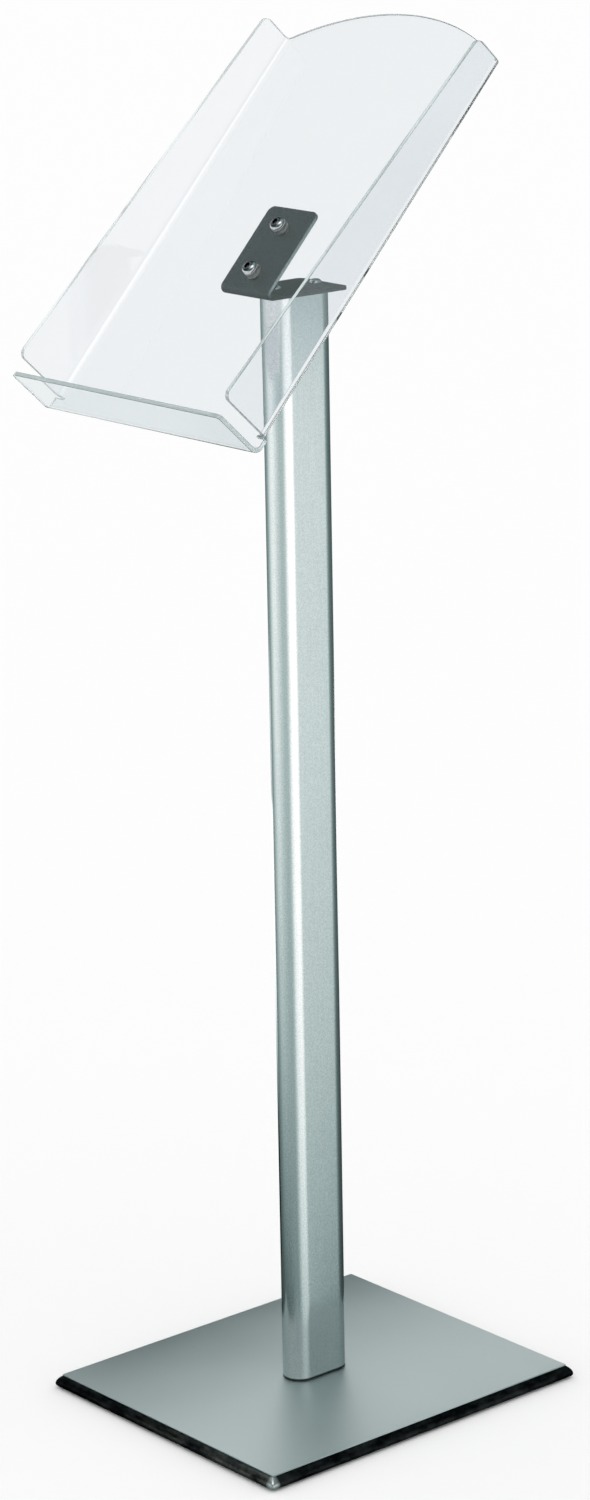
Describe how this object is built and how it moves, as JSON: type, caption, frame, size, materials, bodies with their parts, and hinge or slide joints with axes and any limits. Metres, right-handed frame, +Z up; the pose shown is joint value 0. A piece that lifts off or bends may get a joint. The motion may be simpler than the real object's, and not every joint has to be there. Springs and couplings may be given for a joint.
{
  "type": "lectern stand",
  "caption": "Floor-standing lectern: clear acrylic tray with side flanges and a lip on a folded steel bracket, flat-oval aluminium post and weighted rectangular base.",
  "frame": {"origin": "on the floor, at the centre of the base", "axes": "+Z up; +Y away from the reader, who stands on the -Y side; +X to the reader's right"},
  "size_m": [0.307, 0.3809, 1.2246],
  "materials": {
    "mat_rubber": "matt black non-slip sheet",
    "base_black": "gloss black enamel on a steel slab",
    "base_silver": "satin silver sheet, very fine grain",
    "post_aluminium": "satin anodised, grain along the post",
    "bracket_steel": "dark slate brushed steel",
    "screw_steel": "bright zinc or stainless",
    "insert_metal": "plain machined",
    "nylon_clear": "natural nylon",
    "tray_acrylic": "clear polished acrylic with a faint green-grey edge"
  },
  "bodies": {
    "root": {"floor_mat": "mat_rubber", "base_plate": "base_black", "base_cover": "base_silver", "base_bolt_front": "screw_steel", "base_bolt_back": "screw_steel", "post": "post_aluminium", "post_foot_insert": "insert_metal", "post_head_insert": "insert_metal", "bracket": "bracket_steel", "head_screw_front": "screw_steel", "head_screw_back": "screw_steel", "tray": "tray_acrylic", "tray_screw_lower": "screw_steel", "tray_screw_upper": "screw_steel", "tray_washer_lower": "nylon_clear", "tray_washer_upper": "nylon_clear", "tray_spacer_lower": "nylon_clear", "tray_spacer_upper": "nylon_clear", "bracket_washer_lower": "screw_steel", "bracket_washer_upper": "screw_steel", "tray_nut_lower": "screw_steel", "tray_nut_upper": "screw_steel"}
  },
  "joints": []
}
